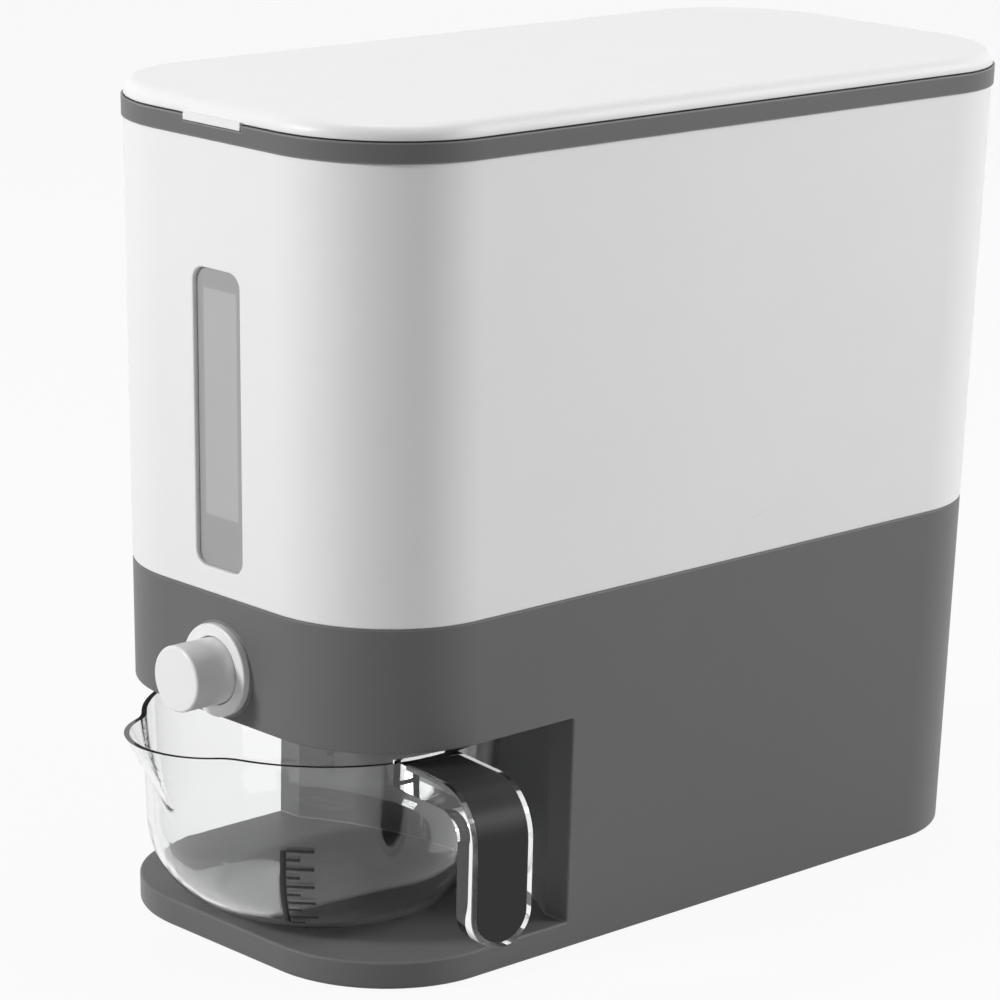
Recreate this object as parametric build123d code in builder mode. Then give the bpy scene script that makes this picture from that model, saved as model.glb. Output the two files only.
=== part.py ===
from build123d import *
from math import cos, radians, sin, tan
import os

# Body outline: a rounded rectangle that widens upwards
body_width_low = 179.4
body_width_high = 183.3
body_length_low = 372.2
body_length_high = 390.0
corner_radius = 55.0
rim_height = 341.0
seam_height = 150.5
band_height = 8.0
band_proud = 0.8
shell_low = 1.0
shell_wall = 2.8
seam_edge = 0.7
base_edge = 1.5

# Bay for the cup, its tray, roof and curved niche
tray_top = 12.5
tray_thick = 3.0
panel_height = 51.0
roof_thick = 4.0
jamb_y = -80.0
niche_radius = 137.0
niche_back = -56.0
niche_wall = 3.0
bay_edge = 0.8
outlet_y = -135.0

# Underside
plate_thick = 4.0
plate_gap = 0.4
plate_edge = 0.8
boss_radius = 4.5
boss_inset = 6.5
rear_boss_top = 30.0
screw_radius = 1.4
screw_head_radius = 3.0
screw_head_height = 1.7
screw_fit = 0.05
screw_bite = 3.0
screw_sink = 2.2
screw_room = 0.5

# Button, ring and return spring
button_drop = 30.5
button_radius = 13.5
button_proud = 22.3
button_length = 25.3
button_wall = 2.2
button_edge = 1.2
button_travel = 12.0
ring_radius = 19.0
ring_proud = 3.2
ring_edge = 0.8
sleeve_wall = 2.2
sleeve_fit = 0.35
sleeve_end_y = -171.5
web_thick = 2.0
pad_radius = 19.6
pad_proud = 0.3
rod_radius = 4.0
rod_fit = 0.4
socket_wall = 1.6
socket_depth = 4.5
spring_radius = 8.2
spring_wire = 0.5
spring_turns = 6
spring_seat_gap = 0.05

# Gate below the throat
throat_width = 32.0
throat_depth = 11.0
throat_wall = 2.6
throat_rise = 17.0
slope_thick = 3.2
slope_side = 0.42
slope_front = 0.65
slope_rear = 0.255
slope_rise = 107.0
shutter_width = 40.0
shutter_thick = 3.0
shutter_gap = 0.4
shutter_margin = 11.0
gate_floor = 3.7
gate_rail = 5.5
gate_end = 3.0
gate_play = 0.8
lug_thick = 4.0
lug_width = 14.0
lug_wall = 2.5
spigot_radius = 2.5
spigot_fit = 0.05
clip_radius = 4.6
clip_thick = 1.2
spigot_tail = 1.0
ear_size = 8.0
ear_thick = 3.0
ear_inset = 8.0
chute_wall = 2.0
chute_drop = 4.5
chute_flange = 4.0
chute_flange_thick = 1.9
chute_gap = 0.3

# Bin
bin_flange = 5.4
bin_flange_thick = 3.0
bin_skirt_gap = 0.4
bin_skirt = 2.0
bin_skirt_drop = 7.0
throat_flange = 7.0
throat_flange_thick = 2.5

# Window
window_rise = 10.5
window_fall = 51.0
window_width = 28.0
window_corner = 6.0
window_sink = 2.0
window_edge = 0.8
pane_thick = 2.0
pane_gap = 0.25
gasket_thick = 0.8
slot_width = 20.0
slot_rise = 21.0
slot_fall = 10.0
slot_corner = 4.0
window_frame = 4.0
frame_depth = 10.0

# Rim collar and lid
collar_lip = 6.0
collar_skirt = 2.0
collar_skirt_gap = 0.35
collar_skirt_drop = 7.0
lid_gap = 0.6
lid_height = 6.4
lid_edge = 5.6
lid_plate = 2.6
lid_skirt = 2.2
lid_skirt_drop = 8.0
lid_skirt_gap = 1.2
lid_inset = 0.2
seal_height = 3.0
seal_proud = 0.85
seal_sink = 0.6
seal_lift = 2.5
tab_width = 34.0
tab_drop = 2.0
tab_gap = 0.5
tab_depth = 3.4
tab_proud = 0.4

# Lid hinge
hinge_back = 5.5
knuckle_radius = 4.2
knuckle_half = 17.3
knuckle_outer = 15.0
knuckle_gap = 0.4
hinge_arm = 3.2
pin_radius = 1.6
pin_fit = 0.05
pin_press = 0.01

# Cup
cup_lift = 0.2
cup_head = 8.0
cup_radius = 73.6
cup_lean = 3.0
cup_bowl = 36.0
cup_wall = 2.2
cup_turn = -7.5
lip_reach = 88.4
lip_round = 34.5
lip_fall = 32.0
lip_root_round = 12.0
lip_root_step = 0.6
lip_blend = 10.0
strap_reach = 126.5
strap_rise = 1.5
strap_bottom = 16.8
strap_width = 28.4
strap_thick = 10.5
strap_bend = 22.0
inlay_thick = 2.0
inlay_border = 2.2
inlay_gap = 0.1
inlay_start = 79.0

# Slack for picking edges and faces by their place
pick_slack = 0.01

os.makedirs("parts", exist_ok=True)


def half_width(height):
    grow = (body_width_high - body_width_low) / 2
    return body_width_low / 2 + grow * height / rim_height


def half_length(height):
    grow = (body_length_high - body_length_low) / 2
    return body_length_low / 2 + grow * height / rim_height


def outline(height, inset, mode=Mode.ADD):
    RectangleRounded(
        2 * (half_width(height) - inset),
        2 * (half_length(height) - inset),
        corner_radius - inset,
        mode=mode,
    )


def drafted(low, high, inset):
    faces = []
    for height in (low, high):
        with BuildSketch(Plane.XY.offset(height)) as section:
            outline(height, inset)
        faces.append(section.sketch.face())
    return faces


def front_plane(height):
    lean = (body_length_high - body_length_low) / 2 / rim_height
    return Plane(
        origin=(0, -half_length(height), height),
        x_dir=(1, 0, 0),
        z_dir=(0, -1, -lean),
    )


def level_faces(piece, height):
    faces = piece.faces().filter_by(Axis.Z)
    faces = faces.filter_by_position(Axis.Z, height - pick_slack, height + pick_slack)
    return faces.sort_by(SortBy.AREA)


def save(piece, name):
    piece.part.label = name
    export_step(piece.part, f"parts/{name}.step")


# Heights and places that follow from the sizes above
band_low = rim_height - band_height
bay_roof = seam_height - panel_height
roof_top = bay_roof + roof_thick
button_height = seam_height - button_drop
plan_reach = body_length_high
pad_y = -half_length(button_height + pad_radius) - pad_proud
pad_depth = shell_wall - pad_y - half_length(button_height - pad_radius)
button_face_y = pad_y - button_proud
button_back_y = button_face_y + button_length
button_inner_y = button_face_y + button_wall
web_y = sleeve_end_y - web_thick
sleeve_bore = button_radius + sleeve_fit
sleeve_radius = sleeve_bore + sleeve_wall
gate_floor_top = roof_top + gate_floor
shutter_low = gate_floor_top + shutter_gap
shutter_high = shutter_low + shutter_thick
gate_top = shutter_high + shutter_gap
slope_start = gate_top + throat_rise
slope_top = slope_start + slope_rise
shutter_front = outlet_y - button_travel - throat_depth / 2 - shutter_margin
shutter_back = outlet_y + throat_depth / 2 + shutter_margin
lug_front = shutter_front
lug_back = lug_front + lug_thick
lug_top = button_height + spigot_radius + lug_wall
gate_front = lug_front - gate_play - gate_end
gate_back = shutter_back + button_travel + gate_play + gate_end
gate_half = shutter_width / 2 + shutter_gap
window_low = seam_height + window_rise
window_high = band_low - window_fall
slot_low = window_low + slot_rise
slot_high = window_high - slot_fall
window_mid = (window_low + window_high) / 2
slot_mid = (slot_low + slot_high) / 2
hinge_y = half_length(rim_height) + hinge_back
lid_low = rim_height + lid_gap
skirt_inset = collar_lip + lid_skirt_gap
seal_low = lid_low - lid_skirt_drop + seal_lift
tab_front = -half_length(rim_height) - band_proud - tab_proud
tab_back = -half_length(rim_height) + tab_depth
socket_y = button_inner_y + socket_depth
spigot_end_y = lug_back + clip_thick + spigot_tail
spring_front_y = button_inner_y + spring_wire + spring_seat_gap
spring_length = web_y - spring_wire - spring_seat_gap - spring_front_y
cup_floor = tray_top + cup_lift
cup_height = bay_roof - cup_head - cup_floor
strap_top = cup_height + strap_rise
cup_dir = (cos(radians(cup_turn)), sin(radians(cup_turn)), 0)
cup_side = (sin(radians(cup_turn)), -cos(radians(cup_turn)), 0)
cup_origin = (0, outlet_y, cup_floor)
cup_plane = Plane(origin=cup_origin, x_dir=cup_dir, z_dir=(0, 0, 1))
cup_section = Plane(origin=cup_origin, x_dir=cup_dir, z_dir=cup_side)
cup_axis = Axis(cup_origin, (0, 0, 1))
strap_plane = Plane(
    origin=(strap_reach * cup_dir[0], outlet_y + strap_reach * cup_dir[1], cup_floor),
    x_dir=(-cup_dir[1], cup_dir[0], 0),
    z_dir=cup_dir,
)
bowl_rise = cup_height - cup_bowl * (1 - sin(radians(cup_lean)))
bowl_centre = (
    cup_radius - bowl_rise * tan(radians(cup_lean)) - cup_bowl * cos(radians(cup_lean))
)


def bay_plan(grow):
    with Locations((0, jamb_y + grow)):
        Rectangle(2 * plan_reach, plan_reach, align=(Align.CENTER, Align.MAX))
    with Locations((0, niche_back - niche_radius)):
        Circle(niche_radius + grow)


boss_places = []
for side in (-1, 1):
    boss_x = side * (half_width(0) - shell_wall - boss_inset)
    boss_places.append((boss_x, -half_length(0) + corner_radius))
    boss_places.append((boss_x, 0))
    boss_places.append((boss_x, half_length(0) - corner_radius))

ear_places = []
for side in (-1, 1):
    ear_x = side * (gate_half + gate_rail + ear_size / 2)
    ear_places.append((ear_x, gate_front + ear_inset))
    ear_places.append((ear_x, gate_back - ear_inset))

# Bay walls, cut to the body outline
with BuildPart() as bay_shell:
    loft(drafted(shell_low, seam_height, 0), ruled=True)
    with BuildSketch(Plane.XY.offset(tray_top - tray_thick)):
        bay_plan(niche_wall)
    extrude(amount=roof_top - tray_top + tray_thick, mode=Mode.INTERSECT)

# Base housing
with BuildPart() as base_housing:
    loft(drafted(shell_low, seam_height, 0), ruled=True)
    loft(drafted(shell_low, seam_height, shell_wall), ruled=True, mode=Mode.SUBTRACT)
    add(bay_shell.part)
    with BuildSketch(Plane.XY.offset(tray_top)):
        bay_plan(0)
    extrude(amount=bay_roof - tray_top, mode=Mode.SUBTRACT)
    with BuildSketch(Plane.XY.offset(plate_thick)):
        with Locations(*[place for place in boss_places if place[1] < jamb_y]):
            Circle(boss_radius)
    extrude(amount=tray_top - tray_thick - plate_thick)
    with BuildSketch(Plane.XY.offset(plate_thick)):
        with Locations(*[place for place in boss_places if place[1] > jamb_y]):
            Circle(boss_radius)
            Rectangle(2 * boss_inset + shell_wall, boss_radius)
    extrude(amount=rear_boss_top - plate_thick)
    with BuildSketch(Plane.XY):
        with Locations(*boss_places):
            Circle(screw_radius + screw_fit)
    extrude(amount=plate_thick + screw_bite + screw_fit, mode=Mode.SUBTRACT)
    with BuildSketch(Plane.XZ.offset(-pad_y)):
        with Locations((0, button_height)):
            Circle(pad_radius)
    extrude(amount=-pad_depth)
    with BuildSketch(Plane.XZ.offset(-pad_y)):
        with Locations((0, button_height)):
            Circle(sleeve_radius + screw_fit)
    extrude(amount=-2 * pad_depth, mode=Mode.SUBTRACT)
    with BuildSketch(Plane.XY.offset(bay_roof)):
        with Locations((0, outlet_y)):
            Rectangle(
                throat_width + 2 * chute_wall + 2 * chute_gap,
                throat_depth + 2 * chute_wall + 2 * chute_gap,
            )
    extrude(amount=roof_thick, mode=Mode.SUBTRACT)
    with BuildSketch(Plane.XY.offset(roof_top)):
        with Locations(*ear_places):
            Circle(screw_radius + screw_fit)
    extrude(amount=-screw_bite, mode=Mode.SUBTRACT)
    jambs = base_housing.edges().filter_by_position(Axis.Y, jamb_y - pick_slack, jamb_y + pick_slack)
    mouth = [jambs.sort_by(Axis.X)[0], jambs.sort_by(Axis.X)[-1]]
    for level in level_faces(base_housing, tray_top), level_faces(base_housing, bay_roof):
        for edge in level[-1].outer_wire().edges():
            if edge.center().Y < jamb_y - bay_edge:
                mouth.append(edge)
    fillet(mouth, bay_edge)
    fillet(base_housing.faces().sort_by(Axis.Z)[0].outer_wire().edges(), base_edge)
    fillet(base_housing.faces().sort_by(Axis.Z)[-1].outer_wire().edges(), seam_edge)
save(base_housing, "base_housing")

# Bottom plate
with BuildPart() as bottom_plate:
    with BuildSketch(Plane.XY):
        outline(shell_low, shell_wall + plate_gap)
        with Locations(*boss_places):
            Circle(screw_radius + screw_fit, mode=Mode.SUBTRACT)
    extrude(amount=plate_thick)
    fillet(bottom_plate.faces().sort_by(Axis.Z)[0].outer_wire().edges(), plate_edge)
    with BuildSketch(Plane.XY):
        with Locations(*boss_places):
            Circle(screw_head_radius + screw_room)
    extrude(amount=screw_sink, mode=Mode.SUBTRACT)
save(bottom_plate, "bottom_plate")

# Screws of the bottom plate
with BuildPart() as bottom_screws:
    with BuildSketch(Plane.XY.offset(screw_sink)):
        with Locations(*boss_places):
            Circle(screw_head_radius)
    extrude(amount=-screw_head_height)
    with BuildSketch(Plane.XY.offset(screw_sink)):
        with Locations(*boss_places):
            Circle(screw_radius)
    extrude(amount=plate_thick - screw_sink + screw_bite)
save(bottom_screws, "bottom_screws")


def slopes(drop):
    faces = []
    for height in (slope_start, slope_top):
        rise = height - slope_start
        side_reach = throat_width / 2 + rise / slope_side
        front_reach = throat_depth / 2 + rise / slope_front
        rear_reach = throat_depth / 2 + rise / slope_rear
        with BuildSketch(Plane.XY.offset(height - drop)) as section:
            with Locations((0, outlet_y + (rear_reach - front_reach) / 2)):
                Rectangle(2 * side_reach, front_reach + rear_reach)
        faces.append(section.sketch.face())
    return faces


# Room that the sloping floor may fill, above and below the seam
with BuildPart() as floor_room:
    loft(drafted(seam_height, band_low, shell_wall / 2), ruled=True)
    loft(drafted(roof_top, seam_height, shell_wall + bin_skirt_gap), ruled=True)

# Sloping floor of the bin
with BuildPart() as sloping_floor:
    loft(slopes(slope_thick), ruled=True)
    add(floor_room.part, mode=Mode.INTERSECT)
    loft(slopes(0), ruled=True, mode=Mode.SUBTRACT)

# Bin
with BuildPart() as hopper_bin:
    loft(drafted(seam_height, band_low, 0), ruled=True)
    loft(drafted(seam_height, band_low, shell_wall), ruled=True, mode=Mode.SUBTRACT)
    add(sloping_floor.part)
    with BuildSketch(Plane.XY.offset(seam_height)):
        outline(seam_height, 0)
        outline(seam_height, bin_flange, mode=Mode.SUBTRACT)
    extrude(amount=bin_flange_thick)
    with BuildSketch(Plane.XY.offset(seam_height)):
        outline(seam_height, shell_wall + bin_skirt_gap)
        outline(seam_height, shell_wall + bin_skirt_gap + bin_skirt, mode=Mode.SUBTRACT)
    extrude(amount=-bin_skirt_drop)
    with BuildSketch(Plane.XY.offset(gate_top)):
        with Locations((0, outlet_y)):
            Rectangle(throat_width + 2 * throat_wall, throat_depth + 2 * throat_wall)
    extrude(amount=slope_start - gate_top)
    with BuildSketch(Plane.XY.offset(gate_top)):
        with Locations((0, outlet_y - throat_depth / 2 - throat_wall)):
            Rectangle(
                2 * (gate_half + gate_rail),
                throat_depth + 2 * throat_wall + throat_flange,
                align=(Align.CENTER, Align.MIN),
            )
    extrude(amount=throat_flange_thick)
    with BuildSketch(Plane.XY.offset(gate_top)):
        with Locations((0, outlet_y)):
            Rectangle(throat_width, throat_depth)
    extrude(amount=slope_start - gate_top, mode=Mode.SUBTRACT)
    with BuildSketch(front_plane(window_mid)):
        RectangleRounded(
            window_width + 2 * window_frame,
            window_high - window_low + 2 * window_frame,
            window_corner + window_frame,
        )
    extrude(amount=-frame_depth)
    with BuildSketch(front_plane(window_mid)):
        RectangleRounded(window_width, window_high - window_low, window_corner)
    extrude(amount=-window_sink - pane_thick - gasket_thick, mode=Mode.SUBTRACT)
    front_axis = Axis((0, 0, 0), front_plane(window_mid).z_dir)
    fillet(hopper_bin.edges(Select.LAST).group_by(front_axis)[-1], window_edge)
    with BuildSketch(front_plane(window_mid)):
        with Locations((0, slot_mid - window_mid)):
            RectangleRounded(slot_width, slot_high - slot_low, slot_corner)
    extrude(amount=-frame_depth - shell_wall, mode=Mode.SUBTRACT)
    fillet(level_faces(hopper_bin, seam_height)[-1].outer_wire().edges(), seam_edge)
save(hopper_bin, "hopper_bin")

# Window pane
with BuildPart() as window_pane:
    with BuildSketch(front_plane(window_mid).offset(-window_sink)):
        RectangleRounded(
            window_width - 2 * pane_gap,
            window_high - window_low - 2 * pane_gap,
            window_corner - pane_gap,
        )
    extrude(amount=-pane_thick)
save(window_pane, "window_pane")

# Seal behind the pane
with BuildPart() as window_gasket:
    with BuildSketch(front_plane(window_mid).offset(-window_sink - pane_thick)):
        RectangleRounded(
            window_width - 2 * pane_gap,
            window_high - window_low - 2 * pane_gap,
            window_corner - pane_gap,
        )
        with Locations((0, slot_mid - window_mid)):
            RectangleRounded(slot_width, slot_high - slot_low, slot_corner, mode=Mode.SUBTRACT)
    extrude(amount=-gasket_thick)
save(window_gasket, "window_gasket")

# Rim collar with the two outer hinge knuckles
with BuildPart() as rim_collar:
    loft(drafted(band_low, rim_height, -band_proud), ruled=True)
    with BuildSketch(Plane.XY.offset(band_low)):
        outline(rim_height, collar_lip)
    extrude(amount=band_height, mode=Mode.SUBTRACT)
    with BuildSketch(Plane.XY.offset(band_low)):
        outline(band_low, shell_wall + collar_skirt_gap)
        outline(band_low, shell_wall + collar_skirt_gap + collar_skirt, mode=Mode.SUBTRACT)
    extrude(amount=-collar_skirt_drop)
    with BuildSketch(Plane.XY.offset(rim_height)):
        with Locations((0, tab_back)):
            Rectangle(tab_width + 2 * tab_gap, plan_reach, align=(Align.CENTER, Align.MAX))
    extrude(amount=-tab_drop - tab_gap, mode=Mode.SUBTRACT)
    for side in (-1, 1):
        with BuildSketch(Plane.YZ.offset(side * (knuckle_half + knuckle_gap))):
            with Locations((hinge_y, rim_height)):
                Circle(knuckle_radius)
                Rectangle(
                    hinge_back + collar_lip / 2,
                    knuckle_radius,
                    align=(Align.MAX, Align.MAX),
                )
            with Locations((hinge_y, rim_height)):
                Circle(pin_radius + pin_press, mode=Mode.SUBTRACT)
        extrude(amount=side * knuckle_outer)
save(rim_collar, "rim_collar")

# Lid with the middle hinge knuckle
with BuildPart() as lid:
    with BuildSketch(Plane.XY.offset(lid_low)):
        outline(rim_height, lid_inset)
    extrude(amount=lid_height)
    fillet(lid.faces().sort_by(Axis.Z)[-1].edges(), lid_edge)
    with BuildSketch(Plane.XY.offset(lid_low)):
        outline(rim_height, skirt_inset + lid_skirt)
    extrude(amount=lid_height - lid_plate, mode=Mode.SUBTRACT)
    with BuildSketch(Plane.XY.offset(lid_low)):
        outline(rim_height, skirt_inset)
        outline(rim_height, skirt_inset + lid_skirt, mode=Mode.SUBTRACT)
    extrude(amount=-lid_skirt_drop)
    with BuildSketch(Plane.XY.offset(seal_low)):
        outline(rim_height, skirt_inset - lid_skirt_gap / 2)
        outline(rim_height, skirt_inset + seal_sink, mode=Mode.SUBTRACT)
    extrude(amount=seal_height, mode=Mode.SUBTRACT)
    with BuildSketch(Plane.XY.offset(lid_low + lid_gap)):
        with Locations((0, tab_front)):
            Rectangle(tab_width, tab_back - tab_gap - tab_front, align=(Align.CENTER, Align.MIN))
    extrude(amount=-tab_drop - 2 * lid_gap)
    with BuildSketch(Plane.YZ.offset(-knuckle_half)):
        with Locations((hinge_y, rim_height)):
            Circle(knuckle_radius)
        with Locations((hinge_y, lid_low)):
            Rectangle(hinge_back + lid_edge, hinge_arm, align=(Align.MAX, Align.MIN))
        with Locations((hinge_y, rim_height)):
            Circle(pin_radius + pin_fit, mode=Mode.SUBTRACT)
    extrude(amount=2 * knuckle_half)
save(lid, "lid")

# Seal around the lid's skirt
with BuildPart() as lid_gasket:
    with BuildSketch(Plane.XY.offset(seal_low)):
        outline(rim_height, skirt_inset - seal_proud)
        outline(rim_height, skirt_inset + seal_sink, mode=Mode.SUBTRACT)
    extrude(amount=seal_height)
save(lid_gasket, "lid_gasket")

# Hinge pin
with BuildPart() as hinge_pin:
    with BuildSketch(Plane.YZ.offset(-knuckle_half - knuckle_gap - knuckle_outer)):
        with Locations((hinge_y, rim_height)):
            Circle(pin_radius)
    extrude(amount=2 * (knuckle_half + knuckle_gap + knuckle_outer))
save(hinge_pin, "hinge_pin")


def front_circle(y, radius):
    with BuildSketch(Plane.XZ.offset(-y)) as disc:
        with Locations((0, button_height)):
            Circle(radius)
    return disc.sketch.face()


# Ring with its guide sleeve and spring seat
with BuildPart() as button_ring:
    extrude(front_circle(pad_y, ring_radius), amount=ring_proud)
    extrude(front_circle(sleeve_end_y, sleeve_radius), amount=sleeve_end_y - pad_y)
    extrude(front_circle(web_y, sleeve_bore), amount=web_y - pad_y + ring_proud, mode=Mode.SUBTRACT)
    extrude(front_circle(sleeve_end_y, rod_radius + rod_fit), amount=web_thick, mode=Mode.SUBTRACT)
    fillet(button_ring.faces().sort_by(Axis.Y)[0].edges(), ring_edge)
save(button_ring, "button_ring")

# Button cap
with BuildPart() as button_cap:
    extrude(front_circle(button_back_y, button_radius), amount=button_length)
    fillet(button_cap.faces().sort_by(Axis.Y)[0].edges(), button_edge)
    extrude(
        front_circle(button_back_y, button_radius - button_wall),
        amount=button_length - button_wall,
        mode=Mode.SUBTRACT,
    )
    extrude(front_circle(socket_y, rod_radius + spigot_fit + socket_wall), amount=socket_depth)
    extrude(
        front_circle(socket_y, rod_radius + spigot_fit), amount=socket_depth, mode=Mode.SUBTRACT
    )
save(button_cap, "button_cap")

# Push rod
with BuildPart() as push_rod:
    extrude(front_circle(lug_front, rod_radius), amount=lug_front - button_inner_y)
    extrude(front_circle(spigot_end_y, spigot_radius), amount=spigot_end_y - lug_front)
save(push_rod, "push_rod")

# Clip behind the lug
with BuildPart() as rod_clip:
    extrude(front_circle(lug_back + clip_thick, clip_radius), amount=clip_thick)
    extrude(
        front_circle(lug_back + clip_thick, spigot_radius + spigot_fit),
        amount=clip_thick,
        mode=Mode.SUBTRACT,
    )
save(rod_clip, "rod_clip")

# Return spring
with BuildPart() as return_spring:
    with BuildLine() as coil:
        Helix(
            pitch=spring_length / spring_turns,
            height=spring_length,
            radius=spring_radius,
            center=(0, spring_front_y, button_height),
            direction=(0, 1, 0),
        )
    with BuildSketch(Plane(origin=coil.line @ 0, z_dir=coil.line % 0)):
        Circle(spring_wire)
    sweep()
save(return_spring, "return_spring")

# Gate guide
with BuildPart() as gate_guide:
    with BuildSketch(Plane.XY.offset(roof_top)):
        with Locations((0, gate_front)):
            Rectangle(
                2 * (gate_half + gate_rail),
                gate_back - gate_front,
                align=(Align.CENTER, Align.MIN),
            )
    extrude(amount=gate_top - roof_top)
    with BuildSketch(Plane.XY.offset(gate_floor_top)):
        with Locations((0, gate_front + gate_end)):
            Rectangle(
                2 * gate_half,
                gate_back - gate_front - 2 * gate_end,
                align=(Align.CENTER, Align.MIN),
            )
    extrude(amount=gate_top - gate_floor_top, mode=Mode.SUBTRACT)
    with BuildSketch(Plane.XY.offset(roof_top)):
        with Locations(*ear_places):
            Rectangle(ear_size + gate_rail, ear_size)
    extrude(amount=ear_thick)
    with BuildSketch(Plane.XY.offset(roof_top)):
        with Locations(*ear_places):
            Circle(screw_radius + screw_fit)
        with Locations((0, outlet_y)):
            Rectangle(throat_width, throat_depth)
    extrude(amount=gate_floor, mode=Mode.SUBTRACT)
    with BuildSketch(Plane.XY.offset(roof_top)):
        with Locations((0, outlet_y)):
            Rectangle(
                throat_width + 2 * (chute_wall + chute_flange + chute_gap),
                throat_depth + 2 * (chute_wall + chute_flange + chute_gap),
            )
    extrude(amount=chute_flange_thick, mode=Mode.SUBTRACT)
save(gate_guide, "gate_guide")

# Screws of the gate guide
with BuildPart() as guide_screws:
    with BuildSketch(Plane.XY.offset(roof_top + ear_thick)):
        with Locations(*ear_places):
            Circle(screw_head_radius)
    extrude(amount=screw_head_height)
    with BuildSketch(Plane.XY.offset(roof_top + ear_thick)):
        with Locations(*ear_places):
            Circle(screw_radius)
    extrude(amount=-ear_thick - screw_bite + screw_fit)
save(guide_screws, "guide_screws")

# Gate shutter with its lug
with BuildPart() as gate_shutter:
    with BuildSketch(Plane.XY.offset(shutter_low)):
        with Locations((0, shutter_front)):
            Rectangle(
                shutter_width, shutter_back - shutter_front, align=(Align.CENTER, Align.MIN)
            )
        with Locations((0, outlet_y - button_travel)):
            Rectangle(throat_width, throat_depth, mode=Mode.SUBTRACT)
    extrude(amount=shutter_thick)
    with BuildSketch(Plane.XY.offset(shutter_low)):
        with Locations((0, lug_front)):
            Rectangle(lug_width, lug_thick, align=(Align.CENTER, Align.MIN))
    extrude(amount=lug_top - shutter_low)
    extrude(
        front_circle(lug_back, spigot_radius + spigot_fit), amount=lug_thick, mode=Mode.SUBTRACT
    )
save(gate_shutter, "gate_shutter")

# Outlet chute
with BuildPart() as outlet_chute:
    with BuildSketch(Plane.XY.offset(roof_top)):
        with Locations((0, outlet_y)):
            Rectangle(
                throat_width + 2 * (chute_wall + chute_flange),
                throat_depth + 2 * (chute_wall + chute_flange),
            )
    extrude(amount=chute_flange_thick)
    with BuildSketch(Plane.XY.offset(roof_top)):
        with Locations((0, outlet_y)):
            Rectangle(throat_width + 2 * chute_wall, throat_depth + 2 * chute_wall)
    extrude(amount=-roof_thick - chute_drop)
    with BuildSketch(Plane.XY.offset(roof_top + chute_flange_thick)):
        with Locations((0, outlet_y)):
            Rectangle(throat_width, throat_depth)
    extrude(amount=-chute_flange_thick - roof_thick - chute_drop, mode=Mode.SUBTRACT)
save(outlet_chute, "outlet_chute")


def wall_points(inset, top):
    lean = radians(cup_lean)
    radius = cup_bowl - inset
    end_r = bowl_centre + radius * cos(lean)
    end_z = cup_bowl - radius * sin(lean)
    return (end_r, end_z), (end_r + (top - end_z) * tan(lean), top)


def bowl_face(inset, top):
    wall_foot, wall_top = wall_points(inset, top)
    with BuildSketch(cup_section) as section:
        with BuildLine():
            Line((0, inset), (bowl_centre, inset))
            CenterArc((bowl_centre, cup_bowl), cup_bowl - inset, -90, 90 - cup_lean)
            Polyline(wall_foot, wall_top, (0, top), (0, inset))
        make_face()
    return section.sketch.face()


def shell_face():
    outer_foot, outer_top = wall_points(0, cup_height)
    inner_foot, inner_top = wall_points(cup_wall, cup_height)
    with BuildSketch(cup_section) as section:
        with BuildLine():
            Line((0, 0), (bowl_centre, 0))
            CenterArc((bowl_centre, cup_bowl), cup_bowl, -90, 90 - cup_lean)
            Polyline(outer_foot, outer_top, inner_top, inner_foot)
            CenterArc((bowl_centre, cup_bowl), cup_bowl - cup_wall, -90, 90 - cup_lean)
            Polyline((bowl_centre, cup_wall), (0, cup_wall), (0, 0))
        make_face()
    return section.sketch.face()


def lip_face(height, radius, reach):
    with BuildSketch(cup_plane.offset(height)) as section:
        with Locations((0, radius - reach)):
            Circle(radius)
    return section.sketch.face()


def lip_faces(inset):
    root_height = cup_height - lip_fall
    root_reach = cup_radius - lip_fall * tan(radians(cup_lean)) - lip_root_step
    return [
        lip_face(root_height, lip_root_round - inset, root_reach - inset),
        lip_face(cup_height, lip_round - inset, lip_reach - inset),
    ]


def strap_face(start, depth, bottom):
    bend_r = strap_reach - strap_bend
    bend_z = strap_top - strap_bend
    inner = strap_bend - depth
    with BuildSketch(cup_section) as section:
        with BuildLine():
            Line((start, strap_top), (bend_r, strap_top))
            CenterArc((bend_r, bend_z), strap_bend, 0, 90)
            Polyline(
                (strap_reach, bend_z),
                (strap_reach, bottom),
                (strap_reach - depth, bottom),
                (strap_reach - depth, bend_z),
            )
            CenterArc((bend_r, bend_z), inner, 0, 90)
            Polyline(
                (bend_r, strap_top - depth), (start, strap_top - depth), (start, strap_top)
            )
        make_face()
    return section.sketch.face()


def strap_front(half, bottom):
    with BuildSketch(strap_plane) as section:
        with Locations((0, bottom + half)):
            Circle(half)
            Rectangle(2 * half, cup_height, align=(Align.CENTER, Align.MIN))
    return section.sketch.face()


# Handle strap
with BuildPart() as strap:
    extrude(
        strap_face(cup_radius - cup_wall, strap_thick, strap_bottom),
        amount=strap_width / 2,
        both=True,
    )
    extrude(strap_front(strap_width / 2, strap_bottom), amount=-strap_reach, mode=Mode.INTERSECT)
    revolve(bowl_face(cup_wall / 2, strap_top + cup_wall), axis=cup_axis, mode=Mode.SUBTRACT)

# Pouring lip, still solid
with BuildPart() as pouring_lip:
    loft(lip_faces(0), ruled=True)
    revolve(bowl_face(cup_wall / 2, strap_top + cup_wall), axis=cup_axis, mode=Mode.SUBTRACT)

# Pocket for the inlay
with BuildPart() as inlay_pocket:
    extrude(
        strap_face(inlay_start, inlay_thick, strap_bottom),
        amount=strap_width / 2 - inlay_border,
        both=True,
    )
    extrude(
        strap_front(strap_width / 2 - inlay_border, strap_bottom + inlay_border),
        amount=-strap_reach,
        mode=Mode.INTERSECT,
    )

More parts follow.
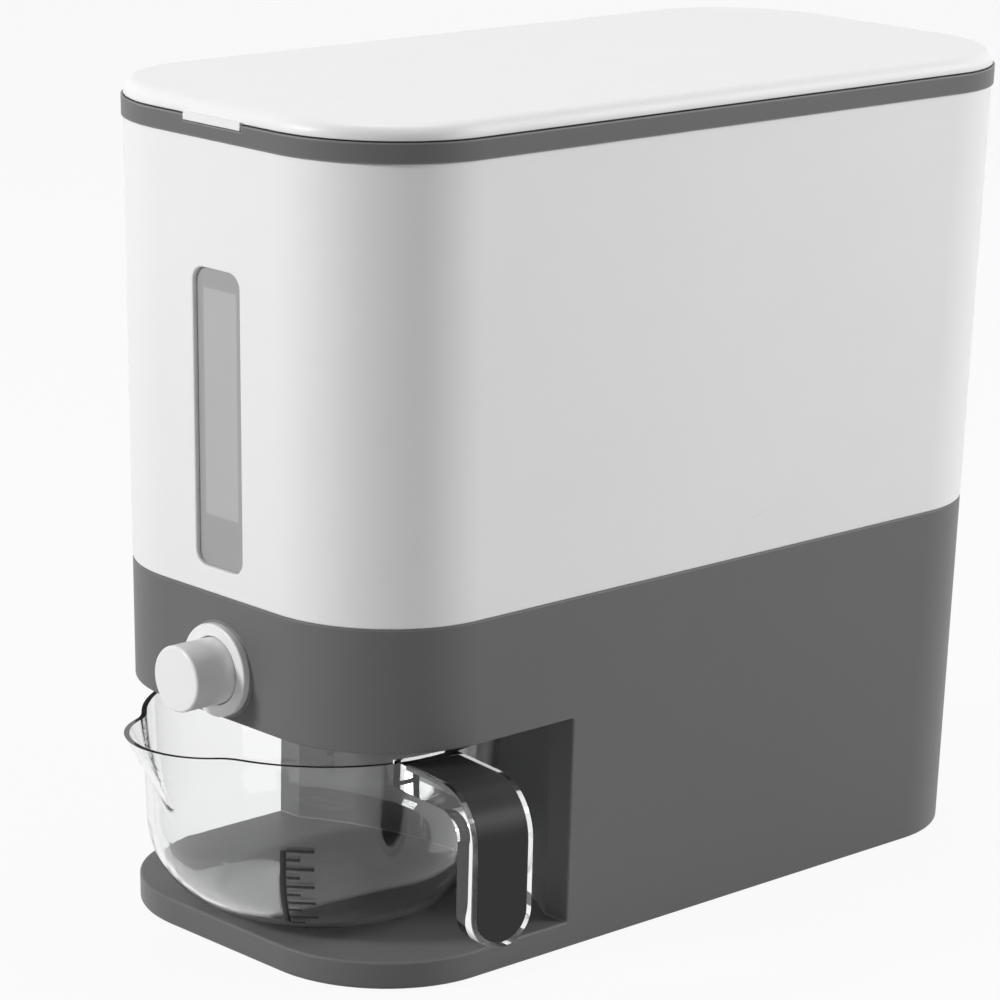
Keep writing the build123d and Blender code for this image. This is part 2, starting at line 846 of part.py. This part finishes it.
# Measuring cup
with BuildPart() as measuring_cup:
    revolve(shell_face(), axis=cup_axis)
    add(pouring_lip.part)
    loft(lip_faces(cup_wall), ruled=True, mode=Mode.SUBTRACT)
    fillet(measuring_cup.edges().filter_by(GeomType.BSPLINE), lip_blend)
    add(strap.part)
    add(inlay_pocket.part, mode=Mode.SUBTRACT)
save(measuring_cup, "measuring_cup")

# Handle inlay
with BuildPart() as handle_inlay:
    extrude(
        strap_face(inlay_start + inlay_gap, inlay_thick, strap_bottom),
        amount=strap_width / 2 - inlay_border - inlay_gap,
        both=True,
    )
    extrude(
        strap_front(
            strap_width / 2 - inlay_border - inlay_gap, strap_bottom + inlay_border + inlay_gap
        ),
        amount=-strap_reach,
        mode=Mode.INTERSECT,
    )
save(handle_inlay, "handle_inlay")
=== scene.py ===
from math import cos, pi, radians, sin, sqrt, tan

import bpy
from mathutils import Matrix, Vector


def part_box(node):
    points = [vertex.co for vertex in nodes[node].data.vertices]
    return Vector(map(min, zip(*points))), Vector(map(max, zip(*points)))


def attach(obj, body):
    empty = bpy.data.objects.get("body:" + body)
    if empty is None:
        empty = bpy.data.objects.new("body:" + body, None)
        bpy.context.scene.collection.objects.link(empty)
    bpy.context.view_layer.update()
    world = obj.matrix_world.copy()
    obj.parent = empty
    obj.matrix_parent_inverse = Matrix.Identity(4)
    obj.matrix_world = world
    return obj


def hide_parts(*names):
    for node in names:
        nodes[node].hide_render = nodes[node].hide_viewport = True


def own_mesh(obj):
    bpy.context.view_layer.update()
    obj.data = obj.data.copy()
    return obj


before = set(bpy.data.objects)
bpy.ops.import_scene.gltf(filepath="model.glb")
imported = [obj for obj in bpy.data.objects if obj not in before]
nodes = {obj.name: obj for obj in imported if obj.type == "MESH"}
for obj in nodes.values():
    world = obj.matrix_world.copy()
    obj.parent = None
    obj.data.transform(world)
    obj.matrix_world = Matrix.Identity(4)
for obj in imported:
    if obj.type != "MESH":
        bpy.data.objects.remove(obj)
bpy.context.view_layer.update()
scene = bpy.context.scene
scene.view_settings.view_transform = "Standard"

# Camera, fitted to the outline of the bin
camera_place = (1.1881, -1.1833, 0.5954)
camera_turn = radians(46.03)
camera_dip = radians(14.62)
camera_roll = radians(1.48)
camera_lens = 146.135
camera_sensor = 36.0
camera_near = 0.05
camera_far = 30.0

# Cup wall, as in the solid
cup_centre = Vector((0.0, -0.135, 0.0127))
cup_height = 0.0788
cup_radius = 0.0736
cup_lean = radians(3.0)
cup_bowl = 0.036

# Printed scale on the cup
scale_angle = radians(-53.2)
scale_low = 0.0215
scale_high = 0.0560
scale_steps = 9
scale_long = 0.0125
scale_short = 0.0068
scale_line = 0.0012
scale_bar = 0.0024
scale_foot = 0.00002
scale_face = 0.00012
bar_columns = 2
bar_rows = 30
tick_columns = 8
tick_rows = 2

# Return spring inside the button
spring_wire = 0.0005
spring_turns = 6
spring_sides = 10
spring_turn_steps = 36

# Pale slot of the window pane, inside its darker border
slot_half_width = 0.00985
slot_low = 0.182
slot_high = 0.2737
slot_side_blur = 0.00025
slot_end_blur = 0.0005

# Finishes that several materials share
plastic_index = 1.5
clear_index = 1.49
mottle_low = 0.3
mottle_high = 0.7
gloss_spread = 0.05
# Edge mask bounds; the lighter edge colour is partly rubbed wear and partly painted highlight
edge_flat = 0.995
edge_turned = 0.86
edge_share = 0.5
dust_slope = 0.3
dust_thin = 0.42
dust_thick = 0.75
dust_colour = (0.62, 0.60, 0.57, 1)
smear_low = 0.4
smear_high = 0.7

# Studio
camera_side = (0.70, -0.69, 0.20)
wall_start = 0.1
wall_end = 0.85
wall_dark = 0.3
fill_level = 0.16
floor_tone = 0.55
floor_glow = 0.93
floor_reach = 20.0
lamp_aim = Vector((0, 0, 0.17))

# Lamps: the side each stands on, its distance and size, and its level on a facing white surface
lamps = {
    "lamp_left": ((-0.36, -0.93, 0.42), 2.4, 0.42, 0.635),
    "lamp_right": ((0.71, 0.70, 0.38), 2.8, 1.5, 0.66),
    "lamp_top": ((-0.1, 0.1, 1.0), 2.2, 1.2, 0.37),
}


def new_camera():
    data = bpy.data.cameras.new("camera")
    data.lens = camera_lens
    data.sensor_width = camera_sensor
    data.clip_start = camera_near
    data.clip_end = camera_far
    holder = bpy.data.objects.new("camera", data)
    scene.collection.objects.link(holder)
    turn = Matrix.Rotation(camera_turn, 4, "Z")
    dip = Matrix.Rotation(pi / 2 - camera_dip, 4, "X")
    roll = Matrix.Rotation(camera_roll, 4, "Z")
    holder.matrix_world = Matrix.Translation(camera_place) @ turn @ dip @ roll
    scene.camera = holder


def new_mesh(name, points, faces, smooth=True):
    data = bpy.data.meshes.new(name)
    data.from_pydata([tuple(point) for point in points], [], faces)
    data.update()
    for polygon in data.polygons:
        polygon.use_smooth = smooth
    piece = bpy.data.objects.new(name, data)
    scene.collection.objects.link(piece)
    return piece


class Nodes:
    """Shorthand for filling one node tree."""

    def __init__(self, tree):
        self.tree = tree

    def add(self, kind, values=None, **settings):
        node = self.tree.nodes.new(kind)
        for name, value in settings.items():
            setattr(node, name, value)
        for name, value in (values or {}).items():
            node.inputs[name].default_value = value
        return node

    def link(self, source, target):
        self.tree.links.new(source, target)

    def feed(self, value, socket):
        if isinstance(value, bpy.types.NodeSocket):
            self.link(value, socket)
        else:
            socket.default_value = value

    def math(self, operation, first, second=None):
        node = self.add("ShaderNodeMath", operation=operation)
        self.feed(first, node.inputs[0])
        if second is not None:
            self.feed(second, node.inputs[1])
        return node.outputs[0]

    def mix(self, factor, first, second):
        node = self.add("ShaderNodeMix", data_type="RGBA")
        self.feed(factor, node.inputs[0])
        self.feed(first, node.inputs[6])
        self.feed(second, node.inputs[7])
        return node.outputs[2]

    def ramp(self, value, low, high, to_low, to_high):
        node = self.add("ShaderNodeMapRange")
        self.link(value, node.inputs["Value"])
        self.feed(low, node.inputs["From Min"])
        self.feed(high, node.inputs["From Max"])
        self.feed(to_low, node.inputs["To Min"])
        self.feed(to_high, node.inputs["To Max"])
        return node.outputs[0]

    def bump(self, height, depth, normal=None):
        node = self.add("ShaderNodeBump", {"Strength": 1.0, "Distance": depth})
        self.link(height, node.inputs["Height"])
        if normal is not None:
            self.link(normal, node.inputs["Normal"])
        return node.outputs["Normal"]


def new_group(name, inputs, outputs):
    tree = bpy.data.node_groups.new(name, "ShaderNodeTree")
    for label, value in inputs.items():
        socket = tree.interface.new_socket(label, in_out="INPUT", socket_type="NodeSocketFloat")
        socket.default_value = value
    for label, kind in outputs.items():
        tree.interface.new_socket(label, in_out="OUTPUT", socket_type=kind)
    maker = Nodes(tree)
    return tree, maker, maker.add("NodeGroupInput"), maker.add("NodeGroupOutput")


def moulded_skin_group():
    """Fine grain of a moulded face and the slow mottling of its colour and gloss."""
    tree, make, entry, leave = new_group(
        "moulded_skin",
        {"Grain Scale": 2600.0, "Mottle Scale": 14.0},
        {"Grain": "NodeSocketFloat", "Mottle": "NodeSocketFloat"},
    )
    place = make.add("ShaderNodeTexCoord").outputs["Object"]
    grain = make.add("ShaderNodeTexNoise", {"Detail": 2.0, "Roughness": 0.55})
    make.link(place, grain.inputs["Vector"])
    make.link(entry.outputs["Grain Scale"], grain.inputs["Scale"])
    make.link(grain.outputs["Fac"], leave.inputs["Grain"])
    mottle = make.add("ShaderNodeTexNoise", {"Detail": 4.0, "Roughness": 0.6})
    make.link(place, mottle.inputs["Vector"])
    make.link(entry.outputs["Mottle Scale"], mottle.inputs["Scale"])
    make.link(mottle.outputs["Fac"], leave.inputs["Mottle"])
    return tree


def worn_edge_and_highlight_group():
    """Where a sharp edge is rubbed smooth: a mask for edges painted lighter, partly rubbed wear
    and partly painted highlight, and the normal of the rounded edge.
    """
    tree, make, entry, leave = new_group(
        "worn_edge_and_highlight",
        {"Radius": 0.0006},
        {"Edge": "NodeSocketFloat", "Rounded": "NodeSocketVector"},
    )
    rounded = make.add("ShaderNodeBevel", samples=6)
    make.link(entry.outputs["Radius"], rounded.inputs["Radius"])
    flat = make.add("ShaderNodeNewGeometry").outputs["Normal"]
    turn = make.add("ShaderNodeVectorMath", operation="DOT_PRODUCT")
    make.link(rounded.outputs["Normal"], turn.inputs[0])
    make.link(flat, turn.inputs[1])
    mask = make.ramp(turn.outputs["Value"], edge_flat, edge_turned, 0.0, 1.0)
    make.link(mask, leave.inputs["Edge"])
    make.link(rounded.outputs["Normal"], leave.inputs["Rounded"])
    return tree


def settled_dust_group():
    """Thin dust on faces that look up, thicker in patches."""
    tree, make, entry, leave = new_group(
        "settled_dust", {"Patch Scale": 30.0}, {"Dust": "NodeSocketFloat"}
    )
    facing = make.add("ShaderNodeSeparateXYZ")
    make.link(make.add("ShaderNodeNewGeometry").outputs["Normal"], facing.inputs[0])
    up = make.ramp(facing.outputs["Z"], dust_slope, 1.0, 0.0, 1.0)
    place = make.add("ShaderNodeTexCoord").outputs["Object"]
    patches = make.add("ShaderNodeTexNoise", {"Detail": 6.0, "Roughness": 0.65})
    make.link(place, patches.inputs["Vector"])
    make.link(entry.outputs["Patch Scale"], patches.inputs["Scale"])
    cover = make.ramp(patches.outputs["Fac"], dust_thin, dust_thick, 0.0, 1.0)
    make.link(make.math("MULTIPLY", up, cover), leave.inputs["Dust"])
    return tree


def handled_gloss_group():
    """Wiped and touched patches that change the gloss of a polished face."""
    tree, make, entry, leave = new_group(
        "handled_gloss",
        {"Smear Scale": 40.0, "Clean": 0.05, "Touched": 0.12},
        {"Roughness": "NodeSocketFloat"},
    )
    place = make.add("ShaderNodeTexCoord").outputs["Object"]
    smear = make.add("ShaderNodeTexNoise", {"Detail": 5.0, "Roughness": 0.7, "Distortion": 0.6})
    make.link(place, smear.inputs["Vector"])
    make.link(entry.outputs["Smear Scale"], smear.inputs["Scale"])
    clean = entry.outputs["Clean"]
    touched = entry.outputs["Touched"]
    gloss = make.ramp(smear.outputs["Fac"], smear_low, smear_high, clean, touched)
    make.link(gloss, leave.inputs["Roughness"])
    return tree


skin = moulded_skin_group()
worn_edge_and_highlight_tree = worn_edge_and_highlight_group()
dust = settled_dust_group()
handled = handled_gloss_group()


def new_material(name):
    material = bpy.data.materials.new(name)
    material.use_nodes = True
    make = Nodes(material.node_tree)
    shader = next(n for n in material.node_tree.nodes if n.type == "BSDF_PRINCIPLED")
    return material, make, shader


def use_group(make, tree, **values):
    node = make.add("ShaderNodeGroup", node_tree=tree)
    for name, value in values.items():
        node.inputs[name.replace("_", " ")].default_value = value
    return node


def moulded_plastic(name, colour, shade, edge, rough, grain, radius, dusty=0.03, shine=0.4):
    """Moulded plastic: grain, mottled gloss, edges painted lighter (partly rubbed wear, partly
    painted highlight), thin dust on top.
    """
    material, make, shader = new_material(name)
    surface = use_group(make, skin)
    edge_wear_and_highlight = use_group(make, worn_edge_and_highlight_tree, Radius=radius)
    settled = use_group(make, dust)
    tone = make.mix(surface.outputs["Mottle"], (*shade, 1), (*colour, 1))
    # Lighter edges: partly rubbed wear, partly painted highlight
    tone = make.mix(make.math("MULTIPLY", edge_wear_and_highlight.outputs["Edge"], edge_share), tone, (*edge, 1))
    layer = make.math("MULTIPLY", settled.outputs["Dust"], dusty)
    tone = make.mix(layer, tone, dust_colour)
    make.link(tone, shader.inputs["Base Color"])
    mottle = surface.outputs["Mottle"]
    gloss = make.ramp(mottle, mottle_low, mottle_high, rough - gloss_spread, rough + gloss_spread)
    make.link(make.math("ADD", gloss, layer), shader.inputs["Roughness"])
    normal = make.bump(surface.outputs["Grain"], grain, edge_wear_and_highlight.outputs["Rounded"])
    make.link(normal, shader.inputs["Normal"])
    shader.inputs["IOR"].default_value = plastic_index
    shader.inputs["Specular IOR Level"].default_value = shine
    return material


def clear_plastic(name, colour, clean, touched, ripple_depth):
    """Clear polished plastic with faint ripples, and with wiped and touched patches."""
    material, make, shader = new_material(name)
    gloss = use_group(make, handled, Clean=clean, Touched=touched)
    make.link(gloss.outputs["Roughness"], shader.inputs["Roughness"])
    ripple = use_group(make, skin, Grain_Scale=55.0)
    make.link(make.bump(ripple.outputs["Grain"], ripple_depth), shader.inputs["Normal"])
    shader.inputs["Base Color"].default_value = (*colour, 1)
    shader.inputs["Transmission Weight"].default_value = 1.0
    shader.inputs["IOR"].default_value = clear_index
    return material


def frosted_pane(name, colour, shade, border_colour, clean, touched, grain, see_through):
    """Smoked, frosted pane with a darker border around a pale slot."""
    material, make, shader = new_material(name)
    surface = use_group(make, skin, Grain_Scale=1500.0)
    gloss = use_group(make, handled, Clean=clean, Touched=touched)
    place = make.add("ShaderNodeSeparateXYZ")
    make.link(make.add("ShaderNodeTexCoord").outputs["Object"], place.inputs[0])
    across = make.math("ABSOLUTE", place.outputs["X"])
    height = place.outputs["Z"]
    side = make.ramp(
        across, slot_half_width - slot_side_blur, slot_half_width + slot_side_blur, 0.0, 1.0
    )
    foot = make.ramp(height, slot_low + slot_end_blur, slot_low - slot_end_blur, 0.0, 1.0)
    head = make.ramp(height, slot_high - slot_end_blur, slot_high + slot_end_blur, 0.0, 1.0)
    border = make.math("MAXIMUM", side, make.math("MAXIMUM", foot, head))
    tone = make.mix(surface.outputs["Mottle"], (*shade, 1), (*colour, 1))
    tone = make.mix(border, tone, (*border_colour, 1))
    make.link(tone, shader.inputs["Base Color"])
    make.link(gloss.outputs["Roughness"], shader.inputs["Roughness"])
    make.link(make.bump(surface.outputs["Grain"], grain), shader.inputs["Normal"])
    shader.inputs["Transmission Weight"].default_value = see_through
    shader.inputs["IOR"].default_value = clear_index
    return material


def plated_steel(name, colour, shade, bright, dull, grain):
    """Zinc plated steel with a fine grain and dull patches."""
    material, make, shader = new_material(name)
    surface = use_group(make, skin, Grain_Scale=3500.0, Mottle_Scale=220.0)
    tone = make.mix(surface.outputs["Mottle"], (*shade, 1), (*colour, 1))
    make.link(tone, shader.inputs["Base Color"])
    gloss = make.ramp(surface.outputs["Mottle"], mottle_low, mottle_high, bright, dull)
    make.link(gloss, shader.inputs["Roughness"])
    make.link(make.bump(surface.outputs["Grain"], grain), shader.inputs["Normal"])
    shader.inputs["Metallic"].default_value = 1.0
    return material


# The edge colour of each finish is partly rubbed wear and partly painted highlight
white_bin = moulded_plastic(
    "white_bin",
    colour=(0.86, 0.86, 0.86),
    shade=(0.83, 0.83, 0.83),
    edge=(0.90, 0.90, 0.90),
    rough=0.42,
    grain=0.000012,
    radius=0.0005,
)
white_button = moulded_plastic(
    "white_button",
    colour=(0.87, 0.87, 0.87),
    shade=(0.84, 0.84, 0.84),
    edge=(0.90, 0.90, 0.90),
    rough=0.30,
    grain=0.000006,
    radius=0.0004,
)
grey_base = moulded_plastic(
    "grey_base",
    colour=(0.156, 0.156, 0.158),
    shade=(0.144, 0.144, 0.146),
    # Edge colour: a strong painted highlight along the base's edges, partly rubbed wear
    edge=(0.55, 0.55, 0.55),
    rough=0.45,
    grain=0.000014,
    radius=0.0012,
    shine=0.18,
)
grey_inlay = moulded_plastic(
    "grey_inlay",
    colour=(0.027, 0.027, 0.028),
    shade=(0.023, 0.023, 0.024),
    edge=(0.06, 0.06, 0.06),
    rough=0.34,
    grain=0.000004,
    radius=0.0004,
    shine=0.2,
)
grey_cover = moulded_plastic(
    "grey_cover",
    colour=(0.12, 0.12, 0.122),
    shade=(0.10, 0.10, 0.102),
    edge=(0.20, 0.20, 0.20),
    rough=0.55,
    grain=0.00002,
    radius=0.0006,
)
natural_inner = moulded_plastic(
    "natural_inner",
    colour=(0.74, 0.74, 0.72),
    shade=(0.69, 0.69, 0.67),
    edge=(0.80, 0.80, 0.79),
    rough=0.45,
    grain=0.00001,
    radius=0.0004,
)
soft_seal = moulded_plastic(
    "soft_seal",
    colour=(0.48, 0.48, 0.48),
    shade=(0.43, 0.43, 0.43),
    edge=(0.52, 0.52, 0.52),
    rough=0.62,
    grain=0.00001,
    radius=0.0004,
    dusty=0.1,
)
scale_ink = moulded_plastic(
    "scale_ink",
    colour=(0.012, 0.012, 0.012),
    shade=(0.02, 0.02, 0.02),
    edge=(0.03, 0.03, 0.03),
    rough=0.5,
    grain=0.000004,
    radius=0.0001,
    dusty=0.0,
)
clear_cup = clear_plastic(
    "clear_cup", colour=(0.97, 0.975, 0.975), clean=0.0, touched=0.02, ripple_depth=0.000008
)
smoked_pane = frosted_pane(
    "smoked_pane",
    colour=(0.57, 0.57, 0.575),
    shade=(0.53, 0.53, 0.535),
    border_colour=(0.43, 0.43, 0.435),
    clean=0.28,
    touched=0.4,
    grain=0.00002,
    see_through=0.2,
)
steel = plated_steel(
    "plated_steel",
    colour=(0.66, 0.66, 0.65),
    shade=(0.50, 0.50, 0.50),
    bright=0.22,
    dull=0.38,
    grain=0.00001,
)

finishes = {
    "hopper_bin": white_bin,
    "lid": white_bin,
    "button_ring": white_button,
    "button_cap": white_button,
    "base_housing": grey_base,
    "rim_collar": grey_base,
    "handle_inlay": grey_inlay,
    "bottom_plate": grey_cover,
    "gate_guide": natural_inner,
    "gate_shutter": natural_inner,
    "outlet_chute": natural_inner,
    "push_rod": natural_inner,
    "measuring_cup": clear_cup,
    "window_pane": smoked_pane,
    "window_gasket": soft_seal,
    "lid_gasket": soft_seal,
    "hinge_pin": steel,
    "rod_clip": steel,
    "bottom_screws": steel,
    "guide_screws": steel,
}
for name, material in finishes.items():
    nodes[name].data.materials.clear()
    nodes[name].data.materials.append(material)


def cup_wall_radius(height):
    """Outer radius of the cup at a height above its floor."""
    foot = cup_bowl * (1 - sin(cup_lean))
    rise = cup_height - foot
    middle = cup_radius - rise * tan(cup_lean) - cup_bowl * cos(cup_lean)
    if height < foot:
        return middle + sqrt(cup_bowl**2 - (cup_bowl - height) ** 2)
    return cup_radius - (cup_height - height) * tan(cup_lean)


def on_cup_wall(along, level, lift):
    """Point on the cup's outer wall: along is the run to the right of the scale's bar."""
    radius = cup_wall_radius(level - cup_centre.z) + lift
    angle = scale_angle + along / radius
    return Vector((radius * cos(angle), cup_centre.y + radius * sin(angle), level))


def cup_scale():
    """Bar and ticks of the printed scale, each a thin closed strip on the cup's wall."""
    points = []
    faces = []

    def strip(left, right, low, high, columns, rows):
        start = len(points)
        for lift in (scale_foot, scale_face):
            for row in range(rows + 1):
                for column in range(columns + 1):
                    along = left + (right - left) * column / columns
                    level = low + (high - low) * row / rows
                    points.append(on_cup_wall(along, level, lift))
        layer = (columns + 1) * (rows + 1)
        for row in range(rows):
            for column in range(columns):
                corner = start + row * (columns + 1) + column
                quad = (corner, corner + 1, corner + columns + 2, corner + columns + 1)
                faces.append(tuple(reversed(quad)))
                faces.append(tuple(index + layer for index in quad))
        ring = [start + column for column in range(columns)]
        ring += [start + columns + row * (columns + 1) for row in range(rows)]
        ring += [start + layer - 1 - column for column in range(columns)]
        ring += [start + layer - columns - 1 - row * (columns + 1) for row in range(rows)]
        for index, corner in enumerate(ring):
            after = ring[(index + 1) % len(ring)]
            faces.append((corner, after, after + layer, corner + layer))

    strip(-scale_bar / 2, scale_bar / 2, scale_low, scale_high, bar_columns, bar_rows)
    for step in range(scale_steps + 1):
        level = scale_high - (scale_high - scale_low) * step / scale_steps
        reach = scale_long if step % 2 == 0 else scale_short
        low = level - scale_line / 2
        high = level + scale_line / 2
        strip(scale_bar / 2, reach, low, high, tick_columns, tick_rows)
    return new_mesh("cup_scale", points, faces)


def coil_spring(low, high):
    """Round wire wound along the button's axis, inside the box from low to high."""
    points = []
    faces = []
    steps = spring_turn_steps * spring_turns
    front = low[1] + spring_wire
    length = high[1] - spring_wire - front
    height = (low[2] + high[2]) / 2
    radius = (high[0] - low[0]) / 2 - spring_wire
    for step in range(steps + 1):
        share = step / steps
        angle = 2 * pi * spring_turns * share
        outward = Vector((cos(angle), 0, sin(angle)))
        centre = Vector((0, front + length * share, height)) + outward * radius
        for side in range(spring_sides):
            turn = 2 * pi * side / spring_sides
            offset = outward * cos(turn) + Vector((0, 1, 0)) * sin(turn)
            points.append(centre + offset * spring_wire)
    for step in range(steps):
        for side in range(spring_sides):
            first = step * spring_sides + side
            second = step * spring_sides + (side + 1) % spring_sides
            faces.append((first, second, second + spring_sides, first + spring_sides))
    faces.append(tuple(reversed(range(spring_sides))))
    faces.append(tuple(range(steps * spring_sides, (steps + 1) * spring_sides)))
    return new_mesh("coil_spring", points, faces)


scale = cup_scale()
scale.data.materials.append(scale_ink)
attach(scale, "cup")

spring_low, spring_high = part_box("return_spring")
spring = coil_spring(spring_low, spring_high)
spring.data.materials.append(steel)
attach(spring, "bin")
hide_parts("return_spring")
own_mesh(spring)


def pale_floor():
    """Pale floor that is seen nearly white and still takes the object's shadow."""
    floor = new_mesh(
        "floor",
        [
            (-floor_reach, -floor_reach, 0),
            (floor_reach, -floor_reach, 0),
            (floor_reach, floor_reach, 0),
            (-floor_reach, floor_reach, 0),
        ],
        [(0, 1, 2, 3)],
        smooth=False,
    )
    material = bpy.data.materials.new("floor_paint")
    material.use_nodes = True
    material.node_tree.nodes.clear()
    make = Nodes(material.node_tree)
    path = make.add("ShaderNodeLightPath")
    seen = make.math("MAXIMUM", path.outputs["Is Camera Ray"], path.outputs["Is Glossy Ray"])
    seen = make.math("MAXIMUM", seen, path.outputs["Is Transmission Ray"])
    paint = make.add("ShaderNodeBsdfDiffuse", {"Color": (floor_tone, floor_tone, floor_tone, 1)})
    glow = make.add("ShaderNodeEmission", {"Color": (1, 1, 1, 1), "Strength": 1.0})
    mixer = make.add("ShaderNodeMixShader")
    make.link(make.math("MULTIPLY", seen, floor_glow), mixer.inputs[0])
    make.link(paint.outputs[0], mixer.inputs[1])
    make.link(glow.outputs[0], mixer.inputs[2])
    make.link(mixer.outputs[0], make.add("ShaderNodeOutputMaterial").inputs["Surface"])
    floor.data.materials.append(material)


def soft_lamp(name, towards, distance, size, level):
    """Square lamp that lights a facing white surface to the given level."""
    data = bpy.data.lights.new(name, "AREA")
    data.shape = "SQUARE"
    data.size = size
    data.energy = level * pi**2 * distance**2
    lamp = bpy.data.objects.new(name, data)
    scene.collection.objects.link(lamp)
    lamp.location = lamp_aim + Vector(towards).normalized() * distance
    lamp.rotation_euler = Vector(towards).to_track_quat("Z", "Y").to_euler()


def pale_world():
    """White room with an even fill, whose unlit wall on the camera's side mirrors darker."""
    world = bpy.data.worlds.new("pale_room")
    scene.world = world
    world.use_nodes = True
    world.node_tree.nodes.clear()
    make = Nodes(world.node_tree)
    path = make.add("ShaderNodeLightPath")
    facing = make.add("ShaderNodeVectorMath", operation="DOT_PRODUCT")
    make.link(make.add("ShaderNodeTexCoord").outputs["Generated"], facing.inputs[0])
    facing.inputs[1].default_value = camera_side
    wall = make.ramp(facing.outputs["Value"], wall_start, wall_end, 1.0, wall_dark)
    light = make.ramp(path.outputs["Is Glossy Ray"], 0.0, 1.0, fill_level, wall)
    seen = make.math("MAXIMUM", path.outputs["Is Camera Ray"], path.outputs["Is Transmission Ray"])
    sky = make.add("ShaderNodeBackground", {"Color": (1, 1, 1, 1)})
    make.link(make.ramp(seen, 0.0, 1.0, light, 1.0), sky.inputs["Strength"])
    make.link(sky.outputs[0], make.add("ShaderNodeOutputWorld").inputs["Surface"])


new_camera()
pale_floor()
pale_world()
for name, (towards, distance, size, level) in lamps.items():
    soft_lamp(name, towards, distance, size, level)
